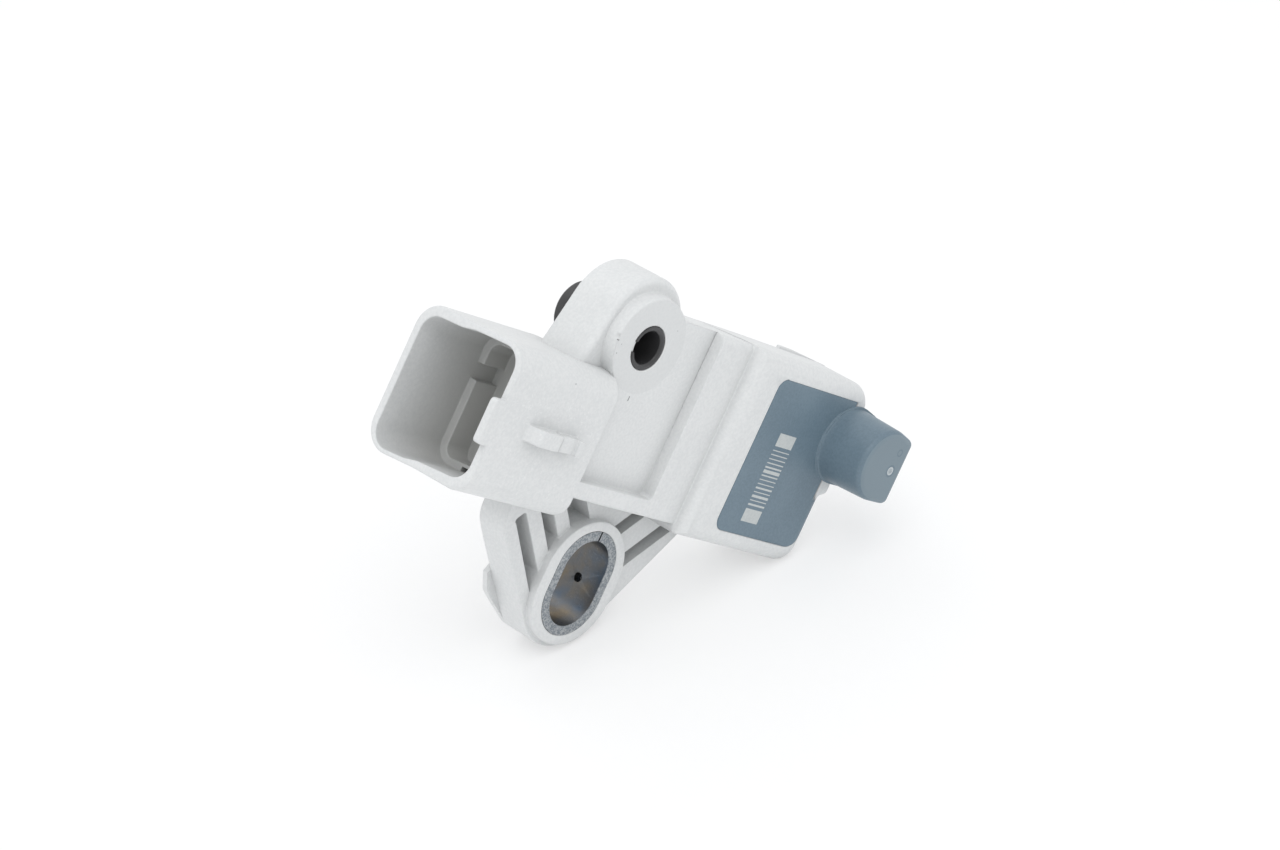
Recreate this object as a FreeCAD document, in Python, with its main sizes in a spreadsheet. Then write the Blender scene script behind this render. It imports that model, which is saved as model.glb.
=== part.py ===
import FreeCAD, Part

import math
import os
import re

import Sketcher
from FreeCAD import Rotation, Vector

# Crankshaft position sensor. A light grey moulded housing carries a connector socket on its left,
# a blue-grey sensor carrier with a finger on its right, a black locating peg above and an oval
# steel bush for the fixing bolt below. The finger reads a magnetised ring on the crankshaft.
#
# Drawing frame: X along the housing from the connector to the finger, Z up the housing, and -Y out
# of the front. The mounting face is at Y = 0 and the peg's axis is the Y axis. At the end each
# piece is turned about that axis, so that the bolt lug and the head's corner stand on one level.

SIZES = {
    # Levels in front of the mounting face
    "web_front": 4.9,
    "boss_front": 6.1,
    "lobe_front": 7.2,
    "panel_front": 9.15,
    "body_front": 11.1,
    "head_front": 13.6,
    # Upper lobe and the disc round the peg
    "lobe_shift": -0.2,
    "lobe_raise": 1.5,
    "lobe_round": 7.5,
    "lobe_left": -9.7,
    "lobe_edge_round": 0.9,
    "disc_raise": 0.25,
    "disc_root_radius": 7.05,
    "disc_face_radius": 6.6,
    # Locating peg
    "peg_radius": 4.09,
    "peg_reach": 5.0,
    "peg_ring_radius": 3.08,
    "peg_bore_radius": 2.3,
    "peg_set_back": 0.4,
    "peg_mouth_chamfer": 0.25,
    "peg_ring_chamfer": 0.25,
    "peg_tip_chamfer": 0.4,
    "peg_key_width": 1.4,
    "peg_key_drop": 0.35,
    "peg_key_length": 1.6,
    # Body between the connector and the head
    "body_left": -3.9,
    "body_top": 5.05,
    "body_top_back": 4.4,
    "body_bottom": -21.4,
    "body_edge_round": 0.9,
    "recess_bottom": -19.0,
    "recess_right": 11.7,
    "recess_corner": 0.6,
    # Head round the sensor carrier
    "head_left": 18.4,
    "head_right": 44.2,
    "head_top": 5.2,
    "head_flank_out": 1.6,
    "head_flank_low": -12.3,
    "head_flank_high": -11.6,
    "head_flank_round": 0.3,
    "head_shoulder": 36.4,
    "head_shoulder_drop": 0.8,
    "head_shoulder_round": 6.0,
    "head_corner_round": 3.8,
    "head_bottom": -22.4,
    "head_foot_round": 3.1,
    "head_edge_round": 2.2,
    "head_relief_start": 28.0,
    "head_relief_depth": 3.9,
    "lip_left": 35.3,
    "lip_end": 0.3,
    "lip_height": 0.6,
    "lip_depth": 0.8,
    "lip_slope_start": 37.6,
    "lip_slope_fall": 0.4,
    # Sensor carrier: the flush cap and the finger
    "cap_left": 23.65,
    "cap_edge": 1.0,
    "cap_top": 2.45,
    "cap_bottom": -19.9,
    "cap_round": 1.7,
    "cap_foot_round": 2.8,
    "cap_depth": 2.2,
    "finger_set_in": 0.7,
    "finger_up": -3.8,
    "finger_radius": 5.5,
    "finger_flat": 4.35,
    "finger_flat_top": 4.6,
    "finger_flat_foot": 5.4,
    "finger_flat_round": 1.2,
    "finger_length": 7.8,
    "finger_draft": 2.0,
    "finger_tip_round": 1.0,
    "collar_width": 0.3,
    "collar_height": 0.25,
    # Web, bolt lug and the oval bush
    "web_right": 31.5,
    "web_hidden_top": -1.0,
    "lug_across": 11.5,
    "lug_low": -35.5,
    "lug_round": 7.9,
    "lug_shoulder": -6.9,
    "lug_shoulder_low": -28.9,
    "lug_shoulder_round": 4.0,
    "slot_straight": 3.8,
    "boss_radius": 7.7,
    "boss_straight": 2.8,
    "boss_back": 1.0,
    "foot_left": 0.3,
    "foot_top": -36.6,
    "foot_side_run": 1.6,
    "foot_side_fall": 2.6,
    "foot_side_round": 2.0,
    "bush_radius": 5.75,
    "bush_wall": 1.4,
    "bush_seam": 0.3,
    "anchor_radius": 0.65,
    "anchor_level": 2.1,
    "anchor_above_middle": -0.2,
    "rib_angle": 45.0,
    "rib_pocket_width": 2.0,
    "rib_pocket_floor": 1.3,
    "rib_pocket_round": 0.5,
    "left_pocket_offset": 4.1,
    "left_pocket_pitch": 4.3,
    "left_pocket_head": 17.4,
    "corner_pocket_width": 3.4,
    "right_pocket_offset": 3.0,
    "right_pocket_pitch": 5.5,
    # Connector shroud and socket
    "mouth_place": -24.4,
    "shroud_front_top": -4.35,
    "shroud_back_top": -5.05,
    "shroud_front_bottom": -24.7,
    "shroud_knee_bottom": -24.9,
    "shroud_back_bottom": -25.65,
    "shroud_back": 8.0,
    "shroud_back_end": -5.2,
    "shroud_round": 3.7,
    "shroud_low_round": 2.9,
    "shroud_wall": 1.1,
    "socket_front_top": -5.1,
    "socket_back_top": -6.15,
    "socket_front_bottom": -23.1,
    "socket_back_bottom": -24.6,
    "socket_round": 2.6,
    "socket_floor": -6.8,
    "socket_step": 0.4,
    "socket_step_front": 1.6,
    "socket_step_back": -0.6,
    "liner_start": -11.2,
    "liner_wall": 1.1,
    "liner_gap": 0.6,
    "liner_gap_back": -2.0,
    "liner_gap_end": 8.4,
    "keyway_top": -10.9,
    "keyway_bottom": -13.2,
    "tongue_length": 1.8,
    "tongue_top": -11.5,
    "tongue_bottom": -17.7,
    "tongue_round": 0.6,
    # Latch lugs on the connector's front
    "latch_start": -18.6,
    "latch_ramp": 1.6,
    "latch_gap_start": -13.0,
    "latch_gap_end": -12.4,
    "latch_end": -8.5,
    "latch_ridge": 1.0,
    "latch_height": 1.9,
    "latch_low_height": 1.3,
    "latch_top": -13.5,
    "latch_width": 2.2,
    # Terminals, chip and its leads
    "blade_tip": -13.0,
    "blade_tip_width": 1.2,
    "terminal_width": 2.2,
    "terminal_thickness": 0.8,
    "terminal_pitch": 5.0,
    "terminal_middle": -14.5,
    "terminal_bend": 25.0,
    "terminal_rise": 4.4,
    "lead_pitch": 1.7,
    "lead_width": 0.9,
    "lead_thickness": 0.45,
    "chip_length": 4.2,
    "chip_width": 5.2,
    "chip_thickness": 1.6,
    "chip_cover": 1.0,
    "capacitor_start": 8.0,
    "capacitor_length": 5.0,
    "capacitor_height": 2.4,
    "capacitor_overlap": 0.8,
}

TERMINALS = 3

doc = FreeCAD.newDocument("crankshaft_position_sensor")
sheet = doc.addObject("Spreadsheet::Sheet", "Sizes")
for row, (alias, size) in enumerate(SIZES.items(), start=1):
    sheet.set(f"A{row}", alias)
    sheet.set(f"B{row}", str(size))
    sheet.setAlias(f"B{row}", alias)
doc.recompute()

# Places that several pieces share, worked out from the sizes
SLOT_MIDDLE = "(lug_low + slot_straight / 2)"
SHROUD_MIDDLE = "((body_front - shroud_back) / 2)"
BUSH_BORE = "(bush_radius - bush_wall)"
TERMINAL_BACK = f"({SHROUD_MIDDLE} - terminal_thickness / 2)"
FINGER_ACROSS = "(head_right - finger_set_in)"
CAP_RIGHT = "(head_right - cap_edge)"
POCKET_REACH = "(sqrt(2) * (body_bottom - lug_low) + rib_pocket_width)"
CHIP_FRONT = "(head_front + finger_length - chip_cover)"
FOOT_ACROSS = "(head_right - head_foot_round)"
FOOT_UP = "(head_bottom + head_foot_round)"
LEAN = (
    f"atan2({FOOT_UP} - lug_low; {FOOT_ACROSS} - lug_across)"
    f" + asin((lug_round - head_foot_round)"
    f" / sqrt(({FOOT_ACROSS} - lug_across)^2 + ({FOOT_UP} - lug_low)^2))"
)


def named(expression):
    """The expression with the sheet's name before each size in it."""
    return re.sub(r"[a-z]+(?:_[a-z]+)+", lambda match: "Sizes." + match.group(), expression)


def size(expression):
    """The number that an expression of sizes has now."""
    found = sheet.evalExpression(named(expression))
    return found.Value if hasattr(found, "Value") else float(found)


def bind(item, field, expression):
    item.setExpression(field, named(expression))


def new_body(name):
    body = doc.addObject("PartDesign::Body", name)
    body.Label = name
    return body


def new_sketch(body, name, plane, offset, turn="0", across="0", up="0"):
    """A sketch on one of the body's origin planes, moved along its normal and in its plane."""
    sketch = body.newObject("Sketcher::SketchObject", name)
    support = [item for item in body.Origin.OriginFeatures if item.Role == plane][0]
    sketch.AttachmentSupport = (support, [""])
    sketch.MapMode = "FlatFace"
    bind(sketch, "AttachmentOffset.Base.x", across)
    bind(sketch, "AttachmentOffset.Base.y", up)
    bind(sketch, "AttachmentOffset.Base.z", offset)
    if turn != "0":
        sketch.AttachmentOffset.Rotation = Rotation(Vector(0, 0, 1), size(turn))
        bind(sketch, "AttachmentOffset.Rotation.Angle", turn)
    return sketch


def front_sketch(body, name, level, **shift):
    """A sketch seen from the front, level millimetres in front of the mounting face."""
    return new_sketch(body, name, "XZ_Plane", level, **shift)


def side_sketch(body, name, place):
    """A cross-section at a place along the housing. Its first axis points to the back."""
    return new_sketch(body, name, "YZ_Plane", place)


def top_sketch(body, name, height):
    """A section seen from above. Its second axis points to the back."""
    return new_sketch(body, name, "XY_Plane", height)


def corner(across, up, radius="0"):
    """A corner of an outline, rounded where it has a radius."""
    return across, up, radius, False


def around(across, up, radius):
    """A stretch of an outline that runs round a centre."""
    return across, up, radius, True


def outline(sketch, corners):
    """A closed outline, drawn counter-clockwise, with each place and radius bound to the sizes."""
    places = [Vector(size(across), size(up), 0) for across, up, _, _ in corners]
    radii = [size(radius) for _, _, radius, _ in corners]
    pulleys = [radius if centred else 0 for radius, (_, _, _, centred) in zip(radii, corners)]
    count = len(corners)
    courses = []
    for index in range(count):
        after = (index + 1) % count
        run = places[after] - places[index]
        swing = math.asin((pulleys[after] - pulleys[index]) / run.Length)
        heading = math.atan2(run.y, run.x) - swing
        courses.append(Vector(math.cos(heading), math.sin(heading), 0))
    entries, exits, centres, sides = [], [], [], []
    for index in range(count):
        before, after = courses[index - 1], courses[index]
        inward_before = Vector(-before.y, before.x, 0)
        inward_after = Vector(-after.y, after.x, 0)
        side = -1 if before.cross(after).z < 0 and not pulleys[index] else 1
        if pulleys[index]:
            centre = places[index]
        else:
            middle = inward_before + inward_after
            centre = places[index] + middle * (side * radii[index] / middle.dot(inward_after))
        sides.append(side)
        centres.append(centre)
        entries.append(centre - inward_before * (radii[index] * side))
        exits.append(centre - inward_after * (radii[index] * side))
    runs = []
    for index in range(count):
        runs.append(sketch.addGeometry(Part.LineSegment(exits[index], entries[(index + 1) % count])))
    for index, (across, up, radius, centred) in enumerate(corners):
        before, after = runs[index - 1], runs[index]
        if radii[index] == 0:
            sketch.addConstraint(Sketcher.Constraint("Coincident", before, 2, after, 1))
            holder, spot = after, 1
        else:
            bulge = (courses[index - 1] - courses[index]).normalize()
            crown = centres[index] + bulge * radii[index]
            arc = sketch.addGeometry(Part.Arc(entries[index], crown, exits[index]))
            arrives, leaves = (1, 2) if sides[index] > 0 else (2, 1)
            sketch.addConstraint(Sketcher.Constraint("Tangent", before, 2, arc, arrives))
            sketch.addConstraint(Sketcher.Constraint("Tangent", arc, leaves, after, 1))
            sketch.addConstraint(Sketcher.Constraint("Radius", arc, radii[index]))
            bind(sketch, f"Constraints[{sketch.ConstraintCount - 1}]", radius)
            if centred:
                holder, spot = arc, 3
            else:
                holder = sketch.addGeometry(Part.Point(places[index]), True)
                spot = 1
                sketch.addConstraint(Sketcher.Constraint("PointOnObject", holder, 1, before))
                sketch.addConstraint(Sketcher.Constraint("PointOnObject", holder, 1, after))
        spans = (("DistanceX", across, places[index].x), ("DistanceY", up, places[index].y))
        for kind, place, number in spans:
            sketch.addConstraint(Sketcher.Constraint(kind, -1, 1, holder, spot, number))
            bind(sketch, f"Constraints[{sketch.ConstraintCount - 1}]", place)
    return sketch


def rectangle(sketch, left, bottom, right, top, radius="0"):
    sides = ((left, bottom), (right, bottom), (right, top), (left, top))
    return outline(sketch, [corner(across, up, radius) for across, up in sides])


def circle(sketch, across, up, radius):
    centre = Vector(size(across), size(up), 0)
    ring = sketch.addGeometry(Part.Circle(centre, Vector(0, 0, 1), size(radius)))
    for kind, place, number in (("DistanceX", across, centre.x), ("DistanceY", up, centre.y)):
        sketch.addConstraint(Sketcher.Constraint(kind, -1, 1, ring, 3, number))
        bind(sketch, f"Constraints[{sketch.ConstraintCount - 1}]", place)
    sketch.addConstraint(Sketcher.Constraint("Radius", ring, size(radius)))
    bind(sketch, f"Constraints[{sketch.ConstraintCount - 1}]", radius)
    return sketch


def oval(sketch, radius, straight="slot_straight"):
    """An oval round the middle of the bolt slot, as long as its radius and straight make it."""
    upper = around("lug_across", f"{SLOT_MIDDLE} + {straight} / 2", radius)
    lower = around("lug_across", f"{SLOT_MIDDLE} - {straight} / 2", radius)
    return outline(sketch, [lower, upper])


def pad(body, sketch, length, draft=None):
    feature = body.newObject("PartDesign::Pad", sketch.Name + "_pad")
    feature.Profile = sketch
    bind(feature, "Length", length)
    if draft:
        bind(feature, "TaperAngle", draft)
    doc.recompute()
    return feature


def pocket(body, sketch, depth, forward=False):
    """Cuts behind the sketch, or in front of it, and makes sure that it took something away."""
    volume = body.Shape.Volume
    feature = body.newObject("PartDesign::Pocket", sketch.Name + "_pocket")
    feature.Profile = sketch
    feature.Reversed = forward
    bind(feature, "Length", depth)
    doc.recompute()
    if body.Shape.Volume >= volume:
        raise RuntimeError(sketch.Name + " cuts nothing")
    return feature


def loft(body, kind, near, far):
    feature = body.newObject("PartDesign::" + kind, near.Name + "_loft")
    feature.Profile = near
    feature.Sections = [far]
    feature.Ruled = True
    doc.recompute()
    return feature


def front_edges(feature, level):
    """The names of the edges that lie on a level in front of the mounting face."""
    wanted = -size(level)
    names = []
    for number, edge in enumerate(feature.Shape.Edges, start=1):
        box = edge.BoundBox
        if abs(box.YMin - wanted) < 1e-4 and abs(box.YMax - wanted) < 1e-4:
            names.append(f"Edge{number}")
    return names


def round_edges(feature, level, radius):
    """The names of the full circles of a radius on a level in front of the mounting face."""
    names = front_edges(feature, level)
    edges = {name: feature.Shape.getElement(name) for name in names}
    return [name for name, edge in edges.items() if abs(edge.BoundBox.XLength - 2 * size(radius)) < 1e-3]


def fillet(body, feature, names, radius):
    rounding = body.newObject("PartDesign::Fillet", feature.Name + "_round")
    rounding.Base = (feature, names)
    bind(rounding, "Radius", radius)
    doc.recompute()
    return rounding


def finger_section(sketch, margin="0"):
    """A round that ends in a flat, which faces away from the connector, with a margin round it."""
    flat = f"{FINGER_ACROSS} + finger_flat + {margin}"
    return outline(sketch, [
        around(FINGER_ACROSS, "finger_up", f"finger_radius + {margin}"),
        corner(flat, f"finger_up - finger_flat_foot - {margin}", "finger_flat_round"),
        corner(flat, f"finger_up + finger_flat_top + {margin}", "finger_flat_round"),
    ])


# Moulded housing, before its inserts are taken out of it


def web(body):
    """The plate on the mounting face, from the lobe down to the bolt lug, with its cored pockets."""
    plate = front_sketch(body, "web_plate", "0")
    outline(plate, [
        around("lug_across", "lug_low", "lug_round"),
        corner("web_right", "body_bottom + 2"),
        corner("web_right", "web_hidden_top"),
        corner("lobe_left", "web_hidden_top"),
        corner("lobe_left", "shroud_front_bottom + 1"),
        corner("lug_shoulder", "shroud_front_bottom + 1"),
        corner("lug_shoulder", "lug_shoulder_low", "lug_shoulder_round"),
    ])
    pad(body, plate, "web_front")
    nearest = "-left_pocket_offset - rib_pocket_width"
    rib_pocket(body, "left_pocket_1", "-rib_angle", "-left_pocket_head", nearest, "rib_pocket_width")
    second = nearest + " + left_pocket_pitch"
    rib_pocket(body, "left_pocket_2", "-rib_angle", "-" + POCKET_REACH, second, "rib_pocket_width")
    third = nearest + " + 2 * left_pocket_pitch"
    rib_pocket(body, "left_pocket_3", "-rib_angle", "-" + POCKET_REACH, third, "corner_pocket_width")
    for index in range(2):
        low = f"right_pocket_offset - {index} * right_pocket_pitch"
        rib_pocket(body, f"right_pocket_{index + 1}", "rib_angle", POCKET_REACH, low, "rib_pocket_width")


def rib_pocket(body, name, turn, end, low, width):
    """A slanted pocket in the web's front. The boss and the body close its ends."""
    slot = front_sketch(body, name, "web_front", turn=turn, across="lug_across", up="lug_low")
    rectangle(slot, "0", low, end, f"{low} + {width}", "rib_pocket_round")
    pocket(body, slot, "web_front - rib_pocket_floor")


def lobe(body):
    """The rounded lobe that holds the locating peg."""
    arch = front_sketch(body, "lobe_outline", "0")
    foot = "shroud_front_top - lobe_edge_round"
    outline(arch, [
        corner("lobe_left", foot),
        corner("lobe_shift + lobe_round", foot),
        around("lobe_shift", "lobe_raise", "lobe_round"),
    ])
    arch_pad = pad(body, arch, "lobe_front")
    fillet(body, arch_pad, front_edges(arch_pad, "lobe_front"), "lobe_edge_round")


def head(body):
    """The thick end round the sensor carrier, with soft front edges and a back cut away to the right."""
    block = front_sketch(body, "head_outline", "0")
    outline(block, [
        corner("head_left", "head_bottom"),
        corner("head_right", "head_bottom", "head_foot_round"),
        corner("head_right", "head_flank_low", "head_flank_round"),
        corner("head_right + head_flank_out", "head_flank_high", "head_flank_round"),
        corner("head_right + head_flank_out", "head_top - head_shoulder_drop", "head_corner_round"),
        corner("head_shoulder", "head_top", "head_shoulder_round"),
        corner("head_left", "head_top"),
    ])
    head_pad = pad(body, block, "head_front")
    fillet(body, head_pad, front_edges(head_pad, "head_front"), "head_edge_round")
    slant = side_sketch(body, "head_top_slant", "head_left")
    outline(slant, [
        corner("-body_front", "head_top + 1"),
        corner("-body_front", "head_top"),
        corner("0", "body_top_back"),
        corner("0", "head_top + 1"),
    ])
    pocket(body, slant, "head_right + head_flank_out - head_left", forward=True)
    relief = top_sketch(body, "head_relief", "head_top + 1")
    outline(relief, [
        corner("head_relief_start", "1"),
        corner("head_relief_start", "0"),
        corner("head_right", "-head_relief_depth"),
        corner("head_right + head_flank_out + 1", "-head_relief_depth"),
        corner("head_right + head_flank_out + 1", "1"),
    ])
    pocket(body, relief, "head_top + 2 - head_bottom")
    column = front_sketch(body, "finger_column", "head_relief_depth")
    finger_section(column)
    pad(body, column, "head_front - head_relief_depth")


def top_lip(body):
    """A low lip along the back edge of the head's top, which falls away to the right."""
    lip = top_sketch(body, "head_lip", "body_top_back - lip_height")
    back = "-head_relief_depth * ({} - head_relief_start) / (head_right - head_relief_start)"
    lip_right = "(head_right - lip_end)"
    left_back, right_back = back.format("lip_left"), back.format(lip_right)
    outline(lip, [
        corner("lip_left", left_back + " - lip_depth"),
        corner(lip_right, right_back + " - lip_depth"),
        corner(lip_right, right_back),
        corner("lip_left", left_back),
    ])
    pad(body, lip, "2 * lip_height")
    slope = front_sketch(body, "lip_slope", "0")
    outline(slope, [
        corner("lip_slope_start", "body_top_back + lip_height"),
        corner(lip_right, "body_top_back + lip_height - lip_slope_fall"),
        corner(lip_right + " + 1", "body_top_back + lip_height - lip_slope_fall"),
        corner(lip_right + " + 1", "body_top_back + lip_height"),
    ])
    pocket(body, slope, "head_relief_depth + lip_depth", forward=True)


def middle(body):
    """The block between the connector and the head."""
    section = side_sketch(body, "body_section", "body_left")
    outline(section, [
        corner("-body_front", "body_bottom", "body_edge_round / 2"),
        corner("0", "body_bottom"),
        corner("0", "body_top_back"),
        corner("-body_front", "body_top", "body_edge_round"),
    ])
    pad(body, section, "head_left + head_edge_round - body_left")


def slanted(front, back, level):
    """The height at a level on a line from the front to the back of the shroud."""
    return f"({front} + ({back} - {front}) * (body_front - {level}) / (body_front + shroud_back))"


def socket_section(sketch, liner="0"):
    """The socket's section, narrowed by a liner. Its back part sits a step lower."""
    radius = f"socket_round - {liner}"
    corners = []
    for edge, gap, order in (("bottom", f" + {liner}", 1), ("top", f" - {liner}", -1)):
        front, back = f"socket_front_{edge}", f"socket_back_{edge}"
        low = gap + " - socket_step"
        corners += [
            corner(f"shroud_wall + {liner} - body_front", front + gap, radius),
            corner("-socket_step_front", slanted(front, back, "socket_step_front") + gap),
            corner("-socket_step_back", slanted(front, back, "socket_step_back") + low),
            corner(f"shroud_back - shroud_wall - {liner}", back + low, radius),
        ][::order]
    return outline(sketch, corners)


def connector(body):
    """The shroud of the connector socket. Behind the mounting face it stops short of the peg."""
    mouth = side_sketch(body, "shroud_outside", "mouth_place")
    outline(mouth, [
        corner("-body_front", "shroud_front_bottom", "shroud_low_round"),
        corner("-socket_step_front", "shroud_knee_bottom"),
        corner("shroud_back", "shroud_back_bottom", "shroud_round"),
        corner("shroud_back", "shroud_back_top", "shroud_round"),
        corner("-body_front", "shroud_front_top", "shroud_round"),
    ])
    pad(body, mouth, "body_left - mouth_place")
    back = top_sketch(body, "shroud_back_cut", "shroud_front_top")
    rectangle(back, "shroud_back_end", "0", "body_left + 1", "shroud_back + 1")
    pocket(body, back, "shroud_front_top - shroud_back_bottom")


def socket(body):
    """The socket in the shroud, narrowed near its floor by a liner with a keyway in its back wall."""
    opening = side_sketch(body, "socket_opening", "mouth_place")
    socket_section(opening)
    pocket(body, opening, "liner_start - mouth_place", forward=True)
    liner = side_sketch(body, "socket_liner", "liner_start")
    socket_section(liner, "liner_wall")
    pocket(body, liner, "socket_floor - liner_start", forward=True)
    for name, near, far, drop in (
        ("liner_gap_front", "liner_gap_end", "socket_step_front", ""),
        ("liner_gap_low", "socket_step_back", "liner_gap_back", " - socket_step"),
    ):
        gap = side_sketch(body, name, "liner_start")
        near_up, far_up = (
            slanted("socket_front_bottom", "socket_back_bottom", level) + drop
            for level in (near, far)
        )
        outline(gap, [
            corner("-" + near, near_up),
            corner("-" + far, far_up),
            corner("-" + far, far_up + " + liner_gap"),
            corner("-" + near, near_up + " + liner_gap"),
        ])
        pocket(body, gap, "socket_floor - liner_start", forward=True)
    keyway = side_sketch(body, "socket_keyway", "liner_start")
    rectangle(keyway, "0", "keyway_bottom", "shroud_back - shroud_wall", "keyway_top")
    pocket(body, keyway, "socket_floor - liner_start", forward=True)


def latch(body):
    """A tongue on the mouth's front edge and two lugs on the front that a plug's latch clicks over."""
    tongue = front_sketch(body, "mouth_tongue", "body_front - shroud_wall")
    tip = "mouth_place - tongue_length"
    rectangle(tongue, tip, "tongue_bottom", "mouth_place + tongue_length", "tongue_top", "tongue_round")
    pad(body, tongue, "shroud_wall")
    sunk = "shroud_wall / 2 - body_front"
    high = "-body_front - latch_height"
    low = "-body_front - latch_low_height"
    ramp = top_sketch(body, "latch_ramp_lug", "latch_top - latch_width")
    outline(ramp, [
        corner("latch_start", sunk),
        corner("latch_start", "-body_front"),
        corner("latch_start + latch_ramp", high, "latch_ramp / 2"),
        corner("latch_gap_start", high, "latch_ramp / 4"),
        corner("latch_gap_start", sunk),
    ])
    pad(body, ramp, "latch_width")
    stop = top_sketch(body, "latch_stop_lug", "latch_top - latch_width")
    outline(stop, [
        corner("latch_gap_end", sunk),
        corner("latch_gap_end", low, "latch_ramp / 4"),
        corner("latch_end - latch_ridge", low),
        corner("latch_end - latch_ridge", high),
        corner("latch_end", high),
        corner("latch_end", sunk),
    ])
    pad(body, stop, "latch_width")


def panel(body):
    """The sunk panel, open along the body's top edge, and the disc that stands in its corner."""
    recess = front_sketch(body, "panel_recess", "panel_front")
    outline(recess, [
        corner("body_left", "recess_bottom"),
        corner("recess_right", "recess_bottom", "recess_corner"),
        corner("recess_right", "body_top + 1"),
        corner("body_left", "body_top + 1"),
    ])
    pocket(body, recess, "body_front - panel_front + 1", forward=True)
    root = front_sketch(body, "disc_root", "lobe_front - lobe_edge_round")
    circle(root, "0", "disc_raise", "disc_root_radius")
    face = front_sketch(body, "disc_face", "panel_front")
    circle(face, "0", "disc_raise", "disc_face_radius")
    loft(body, "AdditiveLoft", root, face)


def seats(body):
    """The boss round the bush with its oval seat, and the hole in front of the peg and through it."""
    boss = front_sketch(body, "bush_boss", "0")
    oval(boss, "boss_radius", "boss_straight")
    pad(body, boss, "boss_front")
    foot = front_sketch(body, "bush_foot", "-boss_back")
    outline(foot, [
        around("lug_across", "lug_low", "lug_round"),
        around("lug_across", "lug_low + slot_straight", "lug_round"),
        corner("foot_left", "foot_top"),
        corner("foot_left + foot_side_run", "foot_top - foot_side_fall", "foot_side_round"),
    ])
    pad(body, foot, "boss_back")
    seat = front_sketch(body, "bush_seat", "boss_front")
    oval(seat, "bush_radius")
    pocket(body, seat, "boss_front + boss_back")
    mouth = front_sketch(body, "peg_mouth", "panel_front")
    circle(mouth, "0", "0", "peg_ring_radius")
    mouth_pocket = pocket(body, mouth, "peg_set_back")
    rim = body.newObject("PartDesign::Chamfer", "peg_mouth_rim")
    rim.Base = (mouth_pocket, round_edges(mouth_pocket, "panel_front", "peg_ring_radius"))
    bind(rim, "Size", "peg_mouth_chamfer")
    doc.recompute()
    bore = front_sketch(body, "peg_bore_hole", "panel_front")
    circle(bore, "0", "0", "peg_bore_radius")
    pocket(body, bore, "panel_front")
    bevel = front_sketch(body, "peg_bore_mouth", "panel_front")
    circle(bevel, "0", "0", "peg_bore_radius + peg_ring_chamfer")
    pocket(body, bevel, "peg_set_back + peg_ring_chamfer")


def moulding():
    body = new_body("housing_moulding")
    web(body)
    lobe(body)
    head(body)
    top_lip(body)
    middle(body)
    connector(body)
    panel(body)
    socket(body)
    latch(body)
    seats(body)
    return body


# Inserts, which the housing is moulded round


def locating_peg():
    """A black stepped sleeve. A notch in its front takes a key of the housing, so it can't turn."""
    body = new_body("locating_peg")
    ring = front_sketch(body, "peg_ring", "0")
    circle(ring, "0", "0", "peg_ring_radius")
    pad(body, ring, "panel_front - peg_set_back")
    spigot = front_sketch(body, "peg_spigot", "-peg_reach")
    circle(spigot, "0", "0", "peg_radius")
    spigot_pad = pad(body, spigot, "peg_reach")
    tip = body.newObject("PartDesign::Chamfer", "peg_tip")
    tip.Base = (spigot_pad, front_edges(spigot_pad, "-peg_reach"))
    bind(tip, "Size", "peg_tip_chamfer")
    doc.recompute()
    bore = front_sketch(body, "peg_bore", "panel_front - peg_set_back")
    circle(bore, "0", "0", "peg_bore_radius")
    bore_pocket = pocket(body, bore, "panel_front - peg_set_back + peg_reach")
    rim = body.newObject("PartDesign::Chamfer", "peg_ring_rim")
    rim.Base = (bore_pocket, round_edges(bore_pocket, "panel_front - peg_set_back", "peg_bore_radius"))
    bind(rim, "Size", "peg_ring_chamfer")
    doc.recompute()
    notch = front_sketch(body, "peg_notch", "panel_front - peg_set_back")
    low, high = "-peg_key_drop - peg_key_width / 2", "-peg_key_drop + peg_key_width / 2"
    rectangle(notch, "-peg_ring_radius - 1", low, "0", high)
    pocket(body, notch, "peg_key_length")
    return body


def bolt_bush():
    """An oval steel bush rolled from strip, with its seam at the top and a hole that anchors it."""
    body = new_body("bolt_bush")
    outside = front_sketch(body, "bush_outside", "-boss_back")
    oval(outside, "bush_radius")
    pad(body, outside, "boss_front + boss_back")
    inside = front_sketch(body, "bush_inside", "boss_front")
    oval(inside, BUSH_BORE)
    pocket(body, inside, "boss_front + boss_back")
    seam = front_sketch(body, "bush_seam_gap", "boss_front")
    rectangle(
        seam, "lug_across - bush_seam / 2", SLOT_MIDDLE,
        "lug_across + bush_seam / 2", "lug_low + slot_straight + bush_radius + 1",
    )
    pocket(body, seam, "boss_front + boss_back")
    anchor = side_sketch(body, "bush_anchor", "lug_across")
    circle(anchor, "-anchor_level", f"{SLOT_MIDDLE} + anchor_above_middle", "anchor_radius")
    pocket(body, anchor, "bush_radius + 1", forward=True)
    return body


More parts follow.
